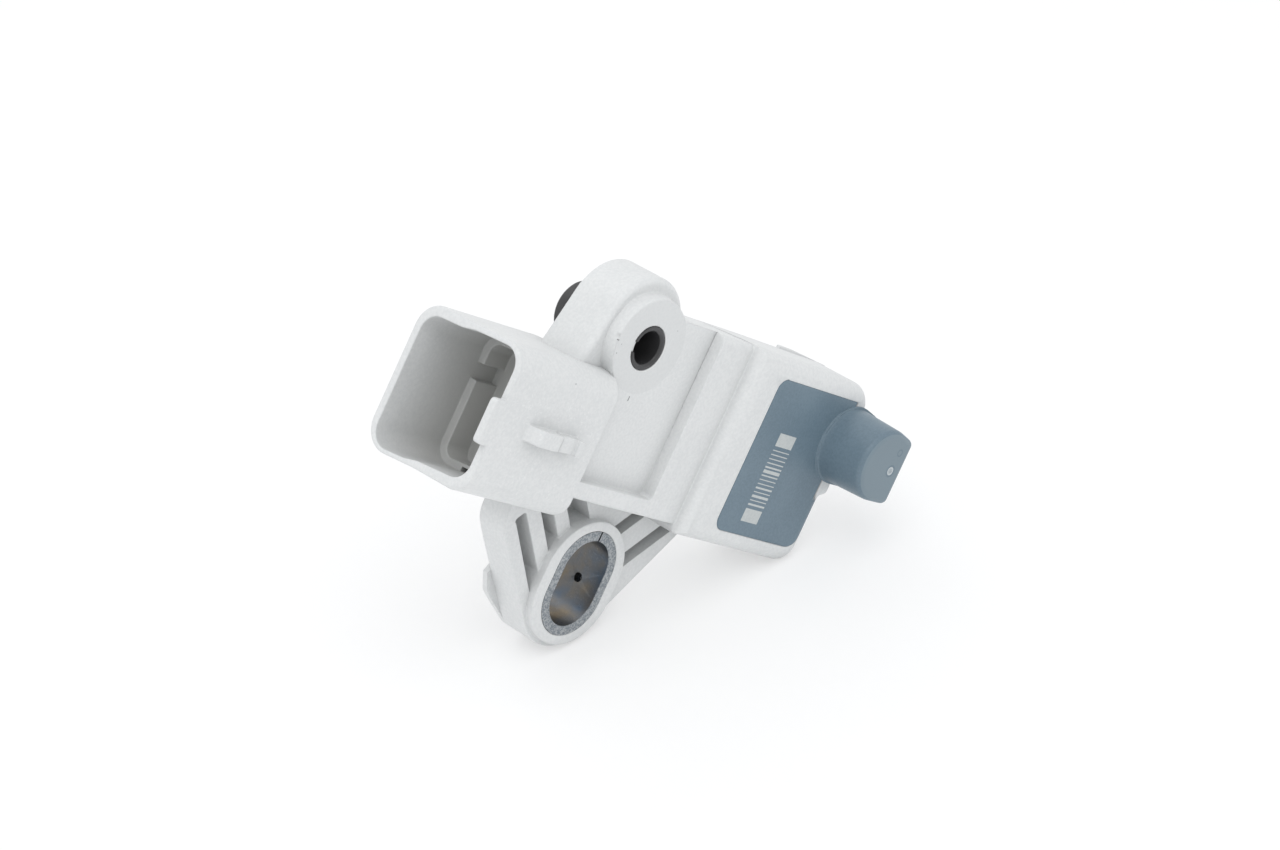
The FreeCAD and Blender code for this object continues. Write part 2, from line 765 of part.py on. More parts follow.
def carrier():
    """The blue-grey moulding that holds the chip: a cap flush with the head's front and the finger."""
    body = new_body("carrier_moulding")
    cap = front_sketch(body, "cap_outline", "head_front - cap_depth")
    outline(cap, [
        corner("cap_left", "cap_bottom", "cap_round"),
        corner(CAP_RIGHT, "cap_bottom", "cap_foot_round"),
        corner(CAP_RIGHT, "cap_top"),
        corner("cap_left", "cap_top", "cap_round"),
    ])
    pad(body, cap, "cap_depth")
    edge = top_sketch(body, "cap_edge", "cap_top + 1")
    inner = "head_right - head_edge_round - 1"
    outline(edge, [
        corner(inner, "-head_front - 1"),
        corner("head_right + 1", "-head_front - 1"),
        corner("head_right + 1", "head_edge_round + 1 - head_front"),
        corner("head_right", "head_edge_round + 1 - head_front"),
        corner("head_right", "-head_front", "head_edge_round"),
        corner(inner, "-head_front"),
    ])
    pocket(body, edge, "cap_top - cap_bottom + 2")
    root = front_sketch(body, "finger_root", "head_front - cap_depth")
    finger_section(root)
    pad(body, root, "cap_depth")
    collar = front_sketch(body, "finger_collar", "head_front")
    finger_section(collar, "collar_width")
    pad(body, collar, "collar_height")
    finger = front_sketch(body, "finger", "head_front")
    finger_section(finger)
    finger_pad = pad(body, finger, "finger_length", draft="-finger_draft")
    tip = front_edges(finger_pad, "head_front + finger_length")
    fillet(body, finger_pad, tip, "finger_tip_round")
    return body


def terminal(index):
    """A brass strip: a blade in the socket, a run through the housing, a bend and a weld pad."""
    body = new_body(f"terminal_{index + 1}")
    place = f"({TERMINALS - 1} / 2 - {index})"
    up = f"terminal_middle + {place} * terminal_pitch"
    low, high = f"{up} - terminal_width / 2", f"{up} + terminal_width / 2"
    run = front_sketch(body, f"run_{index + 1}", TERMINAL_BACK)
    outline(run, [
        corner("blade_tip", f"{up} - blade_tip_width / 2"),
        corner("blade_tip + blade_tip_width", low),
        corner("terminal_bend", low),
        corner("terminal_bend", high),
        corner("blade_tip + blade_tip_width", high),
        corner("blade_tip", f"{up} + blade_tip_width / 2"),
    ])
    pad(body, run, "terminal_thickness")
    riser = front_sketch(body, f"riser_{index + 1}", TERMINAL_BACK)
    rectangle(riser, "terminal_bend - terminal_thickness", low, "terminal_bend", high)
    pad(body, riser, "terminal_rise + terminal_thickness")
    weld = f"finger_up + {place} * lead_pitch"
    weld_low, weld_high = f"{weld} - lead_width / 2", f"{weld} + lead_width / 2"
    weld_start = FINGER_ACROSS + " - 2 * terminal_width"
    weld_end = FINGER_ACROSS + " + lead_thickness / 2"
    reach = front_sketch(body, f"reach_{index + 1}", TERMINAL_BACK + " + terminal_rise")
    outline(reach, [
        corner("terminal_bend - terminal_thickness", low),
        corner("terminal_bend + terminal_width", low),
        corner(weld_start, weld_low),
        corner(weld_end, weld_low),
        corner(weld_end, weld_high),
        corner(weld_start, weld_high),
        corner("terminal_bend + terminal_width", high),
        corner("terminal_bend - terminal_thickness", high),
    ])
    pad(body, reach, "terminal_thickness")
    return body


def chip_lead(index):
    """A flat lead that stands on its terminal's weld pad and ends at the chip."""
    body = new_body(f"chip_lead_{index + 1}")
    up = f"finger_up + ({TERMINALS - 1} / 2 - {index}) * lead_pitch"
    foot = TERMINAL_BACK + " + terminal_rise + terminal_thickness"
    lead = front_sketch(body, f"lead_{index + 1}", foot)
    rectangle(
        lead, FINGER_ACROSS + " - lead_thickness / 2", f"{up} - lead_width / 2",
        FINGER_ACROSS + " + lead_thickness / 2", f"{up} + lead_width / 2",
    )
    pad(body, lead, f"{CHIP_FRONT} - chip_length - ({foot})")
    return body


def hall_chip():
    """The chip near the finger's end, which senses the passing ring."""
    body = new_body("hall_chip")
    package = front_sketch(body, "chip_outline", f"{CHIP_FRONT} - chip_length")
    rectangle(
        package, FINGER_ACROSS + " - chip_thickness / 2", "finger_up - chip_width / 2",
        FINGER_ACROSS + " + chip_thickness / 2", "finger_up + chip_width / 2",
    )
    pad(body, package, "chip_length")
    return body


def suppression_capacitor():
    """A block across two of the terminals, which keeps interference off the supply."""
    body = new_body("suppression_capacitor")
    block = front_sketch(body, "capacitor_outline", TERMINAL_BACK + " + terminal_thickness")
    low = "terminal_middle + terminal_width / 2 - capacitor_overlap"
    high = "terminal_middle + terminal_pitch - terminal_width / 2 + capacitor_overlap"
    rectangle(block, "capacitor_start", low, "capacitor_start + capacitor_length", high)
    pad(body, block, "capacitor_height")
    return body


def lean(item):
    """Turns a piece about the peg's axis, so that the lug and the head's corner stand level."""
    item.Placement.Rotation = Rotation(Vector(0, 1, 0), size(LEAN))
    bind(item, "Placement.Rotation.Angle", LEAN)


def moulded_round(name, body, inserts):
    """The moulding with the room of each insert taken out, as when it sets round them."""
    rest = body
    for insert in inserts:
        cut = doc.addObject("Part::Cut", f"{name}_round_{insert.Name}")
        cut.Base = rest
        cut.Tool = insert
        rest = cut
    rest.Label = name
    doc.recompute()
    return rest


metal = [terminal(index) for index in range(TERMINALS)]
metal += [chip_lead(index) for index in range(TERMINALS)]
metal += [hall_chip(), suppression_capacitor()]
peg = locating_peg()
bush = bolt_bush()
carrier_body = carrier()
housing_body = moulding()
for piece in metal + [peg, bush, carrier_body, housing_body]:
    lean(piece)
sensor_carrier = moulded_round("sensor_carrier", carrier_body, metal)
housing = moulded_round("housing", housing_body, metal + [peg, carrier_body])

for item in doc.Objects:
    if "Invalid" in item.State or "Error" in item.State:
        raise RuntimeError(f"{item.Label} did not rebuild: {item.State}")

os.makedirs("parts", exist_ok=True)
for node in [housing, sensor_carrier, peg, bush] + metal:
    if node.Shape.isNull() or not node.Shape.isValid():
        raise RuntimeError(f"{node.Label} has no valid shape")
    node.Shape.exportStep(f"parts/{node.Label}.step")
    print(node.Label, len(node.Shape.Solids), round(node.Shape.Volume, 1))
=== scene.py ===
import math

import bmesh
import bpy
from mathutils import Matrix, Vector
from mathutils.bvhtree import BVHTree


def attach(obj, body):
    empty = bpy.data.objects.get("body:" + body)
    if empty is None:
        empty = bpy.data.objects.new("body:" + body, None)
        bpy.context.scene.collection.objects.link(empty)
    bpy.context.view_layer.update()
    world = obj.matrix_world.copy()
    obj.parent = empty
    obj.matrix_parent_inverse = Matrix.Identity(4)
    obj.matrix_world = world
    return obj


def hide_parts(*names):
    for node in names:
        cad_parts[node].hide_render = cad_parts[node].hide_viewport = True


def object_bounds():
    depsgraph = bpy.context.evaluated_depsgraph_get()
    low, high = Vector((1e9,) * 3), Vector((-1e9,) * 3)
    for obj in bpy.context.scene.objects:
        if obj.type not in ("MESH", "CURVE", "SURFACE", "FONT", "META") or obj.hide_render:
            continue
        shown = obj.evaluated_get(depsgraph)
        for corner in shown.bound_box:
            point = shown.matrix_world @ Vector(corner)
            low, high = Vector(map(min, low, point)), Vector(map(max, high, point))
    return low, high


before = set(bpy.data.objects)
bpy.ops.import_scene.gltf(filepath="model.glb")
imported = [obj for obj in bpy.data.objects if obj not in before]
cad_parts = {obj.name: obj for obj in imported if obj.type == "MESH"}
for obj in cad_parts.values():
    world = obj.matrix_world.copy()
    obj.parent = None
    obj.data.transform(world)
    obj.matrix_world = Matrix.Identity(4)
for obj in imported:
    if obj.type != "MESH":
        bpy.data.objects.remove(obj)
cad_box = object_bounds()


# The moulded housing. One piece of light grey glass-filled plastic, injected round the peg, the
# bush, the terminals and the sensor carrier in one go. Its mould was spark-eroded, which leaves a
# fine grain, and each edge comes out of it slightly rounded.
LEAN = math.radians(36.87)
HOUSING_EDGE = 0.00018
HOUSING_GREY = (0.745, 0.752, 0.75, 1)
HOUSING_SHADE = (0.69, 0.7, 0.701, 1)
DISC_GREY = (0.64, 0.65, 0.65, 1)
FIBRE_WHITE = (0.84, 0.845, 0.84, 1)
# The socket's grey and the crease grey below are painted shade, the rim's white a painted
# highlight.
PAINTED_SOCKET_SHADE = (0.56, 0.56, 0.545, 1)
SPECK_GREY = (0.2, 0.2, 0.2, 1)
PAINTED_RIM_HIGHLIGHT = (0.93, 0.93, 0.92, 1)
PAINTED_CREASE_SHADE = (0.36, 0.37, 0.37, 1)


class Signal:
    """A value that runs through a node tree. Arithmetic on it adds Math nodes."""

    def __init__(self, nodes, socket):
        self.nodes = nodes
        self.socket = socket

    def combine(self, operation, first, second=0.0):
        return self.nodes.add("ShaderNodeMath", {"operation": operation}, {0: first, 1: second})

    def __add__(self, other):
        return self.combine("ADD", self, other)

    def __sub__(self, other):
        return self.combine("SUBTRACT", self, other)

    def __rsub__(self, other):
        return self.combine("SUBTRACT", other, self)

    def __mul__(self, other):
        return self.combine("MULTIPLY", self, other)

    def __truediv__(self, other):
        return self.combine("DIVIDE", self, other)

    def __rtruediv__(self, other):
        return self.combine("DIVIDE", other, self)

    def __gt__(self, other):
        return self.combine("GREATER_THAN", self, other)

    def __lt__(self, other):
        return self.combine("LESS_THAN", self, other)

    def __abs__(self):
        return self.combine("ABSOLUTE", self)

    __radd__ = __add__
    __rmul__ = __mul__


class Nodes:
    """A node tree that is being built."""

    def __init__(self, tree):
        self.tree = tree

    def add(self, kind, settings, sockets, output=0):
        """Adds a node, with its settings first and then its sockets, and gives one of its outputs.
        A list of signals goes to one socket that takes several."""
        node = self.tree.nodes.new(kind)
        for name, value in settings.items():
            setattr(node, name, value)
        for name, value in sockets.items():
            if isinstance(value, (Signal, list)):
                for signal in value if isinstance(value, list) else [value]:
                    self.tree.links.new(signal.socket, node.inputs[name])
            else:
                node.inputs[name].default_value = value
        return Signal(self, node.outputs[output]) if node.outputs else None

    def ramp(self, value, low, high, start=0.0, end=1.0):
        """The value spread from start at low to end at high, and held there outside."""
        sockets = {0: value, 1: low, 2: high, 3: start, 4: end}
        return self.add("ShaderNodeMapRange", {}, sockets)

    def above(self, value, least):
        return self.add("ShaderNodeMath", {"operation": "MAXIMUM"}, {0: value, 1: least})


class Finish(Nodes):
    """A material with one Principled surface. Its patterns follow the piece, in the frame of its
    drawing, where across, behind and up are in millimetres. A soft one rounds the light at each
    edge."""

    MILLIMETRES = (1000, 1000, 1000)
    SOFT_RADIUS = 0.00015
    RELIEF_STRENGTH = 0.5

    def __init__(self, name, metallic=0.0, roughness=0.5, soft=False):
        self.material = bpy.data.materials.new(name)
        self.material.use_nodes = True
        super().__init__(self.material.node_tree)
        self.soft = soft
        self.surface = self.tree.nodes["Principled BSDF"]
        self.surface.inputs["Metallic"].default_value = metallic
        self.surface.inputs["Roughness"].default_value = roughness
        self.place = self.add("ShaderNodeTexCoord", {}, {}, "Object")
        drawing = self.add("ShaderNodeMapping", {}, {
            "Vector": self.place, "Rotation": (0, -LEAN, 0), "Scale": self.MILLIMETRES,
        })
        self.across = self.add("ShaderNodeSeparateXYZ", {}, {0: drawing}, "X")
        self.behind = self.add("ShaderNodeSeparateXYZ", {}, {0: drawing}, "Y")
        self.up = self.add("ShaderNodeSeparateXYZ", {}, {0: drawing}, "Z")

    def mix(self, factor, low, high):
        """One colour turning into another. Sockets 6 and 7 and output 2 of the node are colours."""
        return self.add("ShaderNodeMix", {"data_type": "RGBA"}, {0: factor, 6: low, 7: high}, 2)

    def noise(self, scale, detail=2.0):
        sockets = {"Vector": self.place, "Scale": scale, "Detail": detail}
        return self.add("ShaderNodeTexNoise", {}, sockets)

    def within(self, value, low, high):
        return (value > low) * (value < high)

    def length(self, first, second):
        both = self.add("ShaderNodeCombineXYZ", {}, {0: first, 1: second})
        return self.add("ShaderNodeVectorMath", {"operation": "LENGTH"}, {0: both}, "Value")

    def distance(self, across, up):
        """How far a point is from a place in the drawing's front view."""
        flat = self.add("ShaderNodeCombineXYZ", {}, {0: self.across, 1: self.up})
        sockets = {0: flat, 1: (across, up, 0)}
        return self.add("ShaderNodeVectorMath", {"operation": "DISTANCE"}, sockets, "Value")

    def crease_shade(self, reach):
        """1 in a crease, where little light gets in, and 0 on an open face, for painted shade."""
        sockets = {"Distance": reach}
        return 1.0 - self.add("ShaderNodeAmbientOcclusion", {"samples": 8}, sockets, "AO")

    def bump(self, height, depth):
        """Relief in the surface: a height of 1 stands depth metres above one of 0."""
        sockets = {"Strength": self.RELIEF_STRENGTH, "Distance": depth, "Height": height}
        if self.soft:
            edge = {"Radius": self.SOFT_RADIUS}
            sockets["Normal"] = self.add("ShaderNodeBevel", {"samples": 6}, edge)
        self.drive("Normal", self.add("ShaderNodeBump", {}, sockets))

    def drive(self, socket, signal):
        self.tree.links.new(signal.socket, self.surface.inputs[socket])


# How an edge is rounded: edges sharper than SOFT_ANGLE are, and those that are still sharper than
# CORNER_ANGLE afterwards keep a crisp shade. Lengths are in metres.
SOFT_ANGLE = math.radians(32)
CORNER_ANGLE = math.radians(52)
FLAT_ANGLE = math.radians(0.6)
SAME_PLACE = 1e-6
SLIVER_WIDTH = 2e-6
HAIR_WIDTH = 1e-7
LEAST_AREA = 1e-12
FOLD_LIMIT = 0.1
TRIES = 6


def rounded(form, width, left_sharp):
    """A copy of a form with its edges rounded, but for those whose numbers are in the set."""
    soft = form.copy()
    edges = [
        edge for edge in soft.edges
        if edge.calc_face_angle(0.0) > SOFT_ANGLE and edge.index not in left_sharp
    ]
    bmesh.ops.bevel(
        soft, geom=edges, offset=width, segments=2, profile=0.5, affect="EDGES",
        clamp_overlap=False,
    )
    bmesh.ops.remove_doubles(soft, verts=soft.verts, dist=HAIR_WIDTH)
    bmesh.ops.triangulate(soft, faces=soft.faces)
    # triangulate leaves the order of the faces to chance, so their places settle it
    order = sorted(soft.faces, key=lambda face: tuple(face.calc_center_median()))
    for number, face in enumerate(order):
        face.index = number
    soft.faces.sort()
    soft.normal_update()
    return soft


def faults(soft, surface, width):
    """The places where a rounded form strays from the surface it was made on, or folds over."""
    stray = width / 2
    places = [
        vert.co.copy() for vert in soft.verts if surface.find_nearest(vert.co)[3] > stray
    ]
    for face in soft.faces:
        if face.calc_area() > LEAST_AREA:
            centre = face.calc_center_median()
            _, upright, _, distance = surface.find_nearest(centre)
            if distance > stray or face.normal.dot(upright) < FOLD_LIMIT:
                places.append(centre)
    return places


def gap(edge, place):
    """How far a place is from an edge."""
    start, end = (vert.co for vert in edge.verts)
    share = (place - start).dot(end - start) / (end - start).length_squared
    return (start.lerp(end, min(1.0, max(0.0, share))) - place).length


def softened(node, finish, width, trim=None):
    """Puts a copy of a piece in its place, trimmed first if need be and with its edges rounded. An
    edge that has no room for the rounding stays sharp."""
    form = bmesh.new()
    form.from_mesh(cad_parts[node].data)
    bmesh.ops.remove_doubles(form, verts=form.verts, dist=SAME_PLACE)
    if trim:
        trim(form)
        bmesh.ops.remove_doubles(form, verts=form.verts, dist=SAME_PLACE)
    bmesh.ops.dissolve_limit(form, angle_limit=FLAT_ANGLE, verts=form.verts, edges=form.edges)
    bmesh.ops.dissolve_degenerate(form, dist=SLIVER_WIDTH, edges=form.edges)
    form.normal_update()
    form.edges.index_update()
    surface = BVHTree.FromBMesh(form)
    sharp = [edge for edge in form.edges if edge.calc_face_angle(0.0) > SOFT_ANGLE]
    left_sharp = set()
    soft = rounded(form, width, left_sharp)
    for _ in range(TRIES):
        places = faults(soft, surface, width)
        if not places:
            break
        for place in places:
            rest = [edge for edge in sharp if edge.index not in left_sharp]
            left_sharp.add(min(rest, key=lambda edge: gap(edge, place)).index)
        soft.free()
        soft = rounded(form, width, left_sharp)
    for edge in soft.edges:
        edge.smooth = edge.calc_face_angle(0.0) < CORNER_ANGLE
    for face in soft.faces:
        face.smooth = True
    block_mesh = bpy.data.meshes.new(node + "_block")
    soft.to_mesh(block_mesh)
    soft.free()
    form.free()
    block = bpy.data.objects.new(node + "_block", block_mesh)
    bpy.context.scene.collection.objects.link(block)
    block.modifiers.new("flat_faces", "WEIGHTED_NORMAL").keep_sharp = True
    evaluated = block.evaluated_get(bpy.context.evaluated_depsgraph_get())
    mesh = bpy.data.meshes.new_from_object(evaluated)
    bpy.data.objects.remove(block)
    mesh.materials.clear()
    mesh.materials.append(finish.material)
    piece = bpy.data.objects.new(node + "_moulded", mesh)
    bpy.context.scene.collection.objects.link(piece)
    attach(piece, "root")
    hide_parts(node)


# Places and sizes of the housing's marks, of the painted shade in its socket and of the painted
# highlight round the peg, in the drawing's front view, in millimetres from the peg's axis and, for
# levels, from the mounting face. The socket is a box with rounded corners.
SOCKET_END, SOCKET_MOUTH, SOCKET_SHADE_DEEP = -6.5, -22.5, -8.0
SOCKET_BEHIND, SOCKET_UP = -1.55, -14.53
SOCKET_HALF_DEPTH, SOCKET_HALF_HEIGHT, SOCKET_CORNER = 6.25, 6.9, 2.75
SOCKET_SLOPE, SOCKET_SLOPE_LEVEL = 0.0432, -11.1
CONNECTOR_REACH, CONNECTOR_LEVEL = (-24.0, -4.0), -10.9
DISC_MIDDLE, DISC_RADIUS, DISC_LEVEL = (0.0, 0.25), 6.6, -9.0
PEG_MIDDLE, PEG_RIM = (0.0, 0.0), (3.0, 3.3)
SLIT_ACROSS, SLIT_UP = (0.42, 0.58), (-7.4, -6.7)
EJECTOR_MIDDLE, EJECTOR_RING, EJECTOR_LEVELS = (6.2, 0.7), (1.75, 1.95), (-9.4, -9.0)
SPECK_LEVEL = -7.5
SPECKS = (
    (-6.5, -0.1, 0.13), (-5.6, -0.5, 0.08), (-5.8, -1.8, 0.1), (4.0, 3.4, 0.08),
    (-12.9, -6.9, 0.08),
)
CREASE_SHADE_REACH = 0.003

housing = Finish("housing_grey", soft=True)
on_front = housing.behind < DISC_LEVEL
cloud = housing.noise(scale=110.0, detail=3.0)
fibre = housing.noise(scale=2400.0)
grain = housing.noise(scale=4200.0)
tone = housing.ramp(cloud * 0.3 + fibre * 0.7, 0.38, 0.62)
skin = housing.mix(tone, HOUSING_SHADE, HOUSING_GREY)

on_connector = housing.within(housing.across, *CONNECTOR_REACH)
on_connector = on_connector * (housing.behind < CONNECTOR_LEVEL)
patches = housing.noise(scale=190.0) * 0.34 * on_connector
flake = housing.ramp(housing.noise(scale=2300.0, detail=1.0) + patches, 0.84, 0.92)
skin = housing.mix(flake * 0.4, skin, FIBRE_WHITE)

# Painted shade: the socket's inside is darkened in the colour, the more so the deeper in.
beside = housing.above(abs(housing.behind - SOCKET_BEHIND) - SOCKET_HALF_DEPTH, 0.0)
height = housing.up + (housing.behind - SOCKET_SLOPE_LEVEL) * SOCKET_SLOPE
over = housing.above(abs(height - SOCKET_UP) - SOCKET_HALF_HEIGHT, 0.0)
inside = (housing.length(beside, over) < SOCKET_CORNER) * (housing.across < SOCKET_END)
socket_shade = housing.ramp(housing.across, SOCKET_MOUTH, SOCKET_SHADE_DEEP)
skin = housing.mix(inside * socket_shade, skin, PAINTED_SOCKET_SHADE)

# Painted highlight: a thin white ring in the colour round the peg, on the front.
rim = housing.within(housing.distance(*PEG_MIDDLE), *PEG_RIM) * on_front
skin = housing.mix(rim, skin, PAINTED_RIM_HIGHLIGHT)
slit = housing.within(housing.across, *SLIT_ACROSS) * housing.within(housing.up, *SLIT_UP)
specks = slit * on_front
for across, up, radius in SPECKS:
    specks = specks + (housing.distance(across, up) < radius) * (housing.behind < SPECK_LEVEL)
skin = housing.mix(specks, skin, SPECK_GREY)
on_disc = (housing.distance(*DISC_MIDDLE) < DISC_RADIUS) * on_front
skin = housing.mix(on_disc * 0.45, skin, DISC_GREY)
# Painted shade: the colour is darkened in creases and hollows, where little light gets in.
skin = housing.mix(housing.crease_shade(CREASE_SHADE_REACH) * 0.45, skin, PAINTED_CREASE_SHADE)
housing.drive("Base Color", skin)
housing.drive("Roughness", housing.ramp(grain, 0.2, 0.8) * 0.16 + 0.4)

round_ejector = housing.within(housing.distance(*EJECTOR_MIDDLE), *EJECTOR_RING)
ring = round_ejector * housing.within(housing.behind, *EJECTOR_LEVELS)
housing.bump(grain + ring * 1.5, depth=0.00003)

# The web's upper corner, in metres in the drawing's frame, and the lobe's side, to which it is
# drawn in.
CORNER_ACROSS, CORNER_TOLERANCE, CORNER_FRONT = -0.0097, 0.00005, -0.005
CORNER_LOW, CORNER_HIGH = -0.0049, -0.0009
LOBE_SIDE, LOBE_SIDE_UP, LOBE_SLOPE = -0.0086, -0.001, 0.26


def draw_in(form):
    """Draws the web's upper corner, which stands out beside the peg, back into the lobe's side."""
    to_drawing = Matrix.Rotation(-LEAN, 3, "Y")
    for vert in form.verts:
        place = to_drawing @ vert.co
        at_corner = abs(place.x - CORNER_ACROSS) < CORNER_TOLERANCE and place.y > CORNER_FRONT
        if at_corner and CORNER_LOW < place.z < CORNER_HIGH:
            place.x = LOBE_SIDE + (place.z - LOBE_SIDE_UP) * LOBE_SLOPE
            vert.co = to_drawing.transposed() @ place


softened("housing", housing, HOUSING_EDGE, draw_in)


# The sensor carrier. It is moulded first, in blue-grey plastic, with the chip in its finger, and
# the housing is then injected round it, so its cap lies flush in the head's front. The finger's
# end keeps the marks of the gate and of an ejector pin.
CARRIER_EDGE = 0.0001
CARRIER_BLUE = (0.158, 0.222, 0.272, 1)
CARRIER_SHADE = (0.128, 0.186, 0.232, 1)
END_BLUE = (0.185, 0.243, 0.283, 1)
GATE_WHITE = (0.5, 0.54, 0.56, 1)
END_LEVEL = -21.2
GATE_MIDDLE, GATE_RING, GATE_DIP = (44.8, -4.1), (0.4, 0.62), (0.62, 0.92)
PIN_MIDDLE, PIN_RING = (45.1, -1.3), (0.36, 0.58)

carrier = Finish("carrier_blue_grey", soft=True)
cloud = carrier.noise(scale=130.0, detail=3.0)
fibre = carrier.noise(scale=3000.0)
grain = carrier.noise(scale=5200.0)
tone = carrier.ramp(cloud * 0.5 + fibre * 0.5, 0.38, 0.6)
skin = carrier.mix(tone, CARRIER_SHADE, CARRIER_BLUE)
on_end = carrier.behind < END_LEVEL
skin = carrier.mix(on_end, skin, END_BLUE)
gate = carrier.distance(*GATE_MIDDLE)
gate_ring = carrier.within(gate, *GATE_RING) * on_end
gate_dip = carrier.within(gate, *GATE_DIP) * on_end
pin_ring = carrier.within(carrier.distance(*PIN_MIDDLE), *PIN_RING) * on_end
crumb = carrier.ramp(carrier.noise(scale=5000.0, detail=1.0), 0.4, 0.6)
stub = (gate < GATE_RING[0]) * on_end * crumb
skin = carrier.mix(gate_ring + stub, skin, GATE_WHITE)
skin = carrier.mix((gate_dip + pin_ring) * 0.8, skin, CARRIER_SHADE)
carrier.drive("Base Color", skin)
carrier.drive("Roughness", carrier.ramp(grain, 0.2, 0.8) * 0.14 + 0.36)
carrier.bump(grain - gate_dip * 2.0 - pin_ring * 2.0, depth=0.000014)
softened("sensor_carrier", carrier, CARRIER_EDGE)


# The strip of bars on the cap, which a laser whitens in the plastic: two square ends and a row of
# thin bars between them, of random thickness. It is plain and tells nothing.
STRIP_LEFT, STRIP_RIGHT = 0.0285, 0.0323
STRIP_LOW, STRIP_HIGH = -0.0179, -0.0048
STRIP_LEVEL = 0.0136
BAR_HEIGHT = 0.000015
SQUARE = 0.0019
BAR_STEP = 0.00062
BAR_SEED = 4
THINNEST, THICKER_BY, THIN_SHARE = 0.22, 0.6, 3.0
END_GAP = 0.6
MARKING_DARK = (0.5, 0.53, 0.53, 1)
MARKING_LIGHT = (0.56, 0.585, 0.58, 1)


def strip_of_bars():
    """The node tree of the strip. It lies in the drawing's front view and is turned into place."""
    tree = bpy.data.node_groups.new("strip_of_bars", "GeometryNodeTree")
    face = tree.interface
    face.new_socket("Geometry", in_out="OUTPUT", socket_type="NodeSocketGeometry")
    sizes = {
        "Bar Length": STRIP_RIGHT - STRIP_LEFT, "Square": SQUARE, "Bar Step": BAR_STEP,
        "Strip Length": STRIP_HIGH - STRIP_LOW, "Lean": LEAN,
    }
    for name, value in sizes.items():
        socket = face.new_socket(name, in_out="INPUT", socket_type="NodeSocketFloat")
        socket.default_value = value
    face.new_socket("Finish", in_out="INPUT", socket_type="NodeSocketMaterial")
    nodes = Nodes(tree)

    def given(name):
        return nodes.add("NodeGroupInput", {}, {}, name)

    def vector(x, y, z):
        return nodes.add("ShaderNodeCombineXYZ", {}, {0: x, 1: y, 2: z})

    def row_of(count, start, step, thickness, scale):
        """Bars that follow each other upwards from a start, at a step."""
        row = nodes.add("GeometryNodeMeshLine", {}, {
            "Count": count, "Start Location": vector(0.0, 0.0, start),
            "Offset": vector(0.0, 0.0, step),
        })
        size = vector(given("Bar Length"), BAR_HEIGHT, thickness)
        bar = nodes.add("GeometryNodeMeshCube", {}, {"Size": size})
        return nodes.add("GeometryNodeInstanceOnPoints", {}, {
            "Points": row, "Instance": bar, "Scale": vector(1.0, 1.0, scale),
        })

    length, square, step = given("Strip Length"), given("Square"), given("Bar Step")
    room = (length - square * 2.0) / step - END_GAP
    count = nodes.add("FunctionNodeFloatToInt", {}, {0: room})
    drawn = nodes.add("FunctionNodeRandomValue", {}, {2: 0.0, 3: 1.0, "Seed": BAR_SEED}, 1)
    thin = nodes.add("ShaderNodeMath", {"operation": "POWER"}, {0: drawn, 1: THIN_SHARE})
    bars = row_of(count, square + step, step, step, thin * THICKER_BY + THINNEST)
    squares = row_of(2, square / 2.0, length - square, square, 1.0)
    both = nodes.add("GeometryNodeJoinGeometry", {}, {0: [bars, squares]})
    middle = (STRIP_LEFT + STRIP_RIGHT) / 2
    placed = nodes.add("GeometryNodeTransform", {}, {
        "Geometry": both, "Translation": (middle, -STRIP_LEVEL, STRIP_LOW),
    })
    leaned = nodes.add("GeometryNodeTransform", {}, {
        "Geometry": placed, "Rotation": vector(0.0, given("Lean"), 0.0),
    })
    whole = nodes.add("GeometryNodeRealizeInstances", {}, {0: leaned})
    sockets = {"Geometry": whole, "Material": given("Finish")}
    made = nodes.add("GeometryNodeSetMaterial", {}, sockets)
    nodes.add("NodeGroupOutput", {}, {0: made})
    return tree


marking = Finish("laser_marking", roughness=0.55)
cloud = marking.noise(scale=2600.0)
tone = marking.ramp(cloud, 0.3, 0.65)
marking.drive("Base Color", marking.mix(tone, MARKING_DARK, MARKING_LIGHT))
marking.bump(cloud, depth=0.000004)
marker = bpy.data.objects.new("marker", bpy.data.meshes.new("marker"))
bpy.context.scene.collection.objects.link(marker)
maker = marker.modifiers.new("bars", "NODES")
maker.node_group = strip_of_bars()
for item in maker.node_group.interface.items_tree:
    if item.in_out == "INPUT" and item.name == "Finish":
        maker[item.identifier] = marking.material
evaluated = marker.evaluated_get(bpy.context.evaluated_depsgraph_get())
strip_mesh = bpy.data.meshes.new_from_object(evaluated)
bpy.data.objects.remove(marker)
strip = bpy.data.objects.new("strip_of_bars", strip_mesh)
bpy.context.scene.collection.objects.link(strip)
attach(strip, "root")


# The locating peg. A black sleeve of hard plastic, turned round by its mould, whose notched end
# shows in the front disc and whose spigot stands out behind.
PEG_EDGE = 0.0001
PEG_BLACK = (0.026, 0.026, 0.027, 1)
PEG_GREY = (0.046, 0.046, 0.048, 1)
RING_SHIFT = 0.0003

peg = Finish("peg_black")
grain = peg.noise(scale=3600.0)
tone = peg.ramp(peg.noise(scale=300.0, detail=3.0), 0.35, 0.65)
peg.drive("Base Color", peg.mix(tone, PEG_BLACK, PEG_GREY))
peg.drive("Roughness", peg.ramp(grain, 0.25, 0.75) * 0.16 + 0.3)
peg.bump(grain, depth=0.000012)


def bring_forward(form):
    """Sets the peg's notched ring further forward, to just behind the disc's face."""
    front = min(vert.co.y for vert in form.verts)
    for vert in form.verts:
        if vert.co.y < front + RING_SHIFT:
            vert.co.y -= RING_SHIFT


softened("locating_peg", peg, PEG_EDGE, bring_forward)


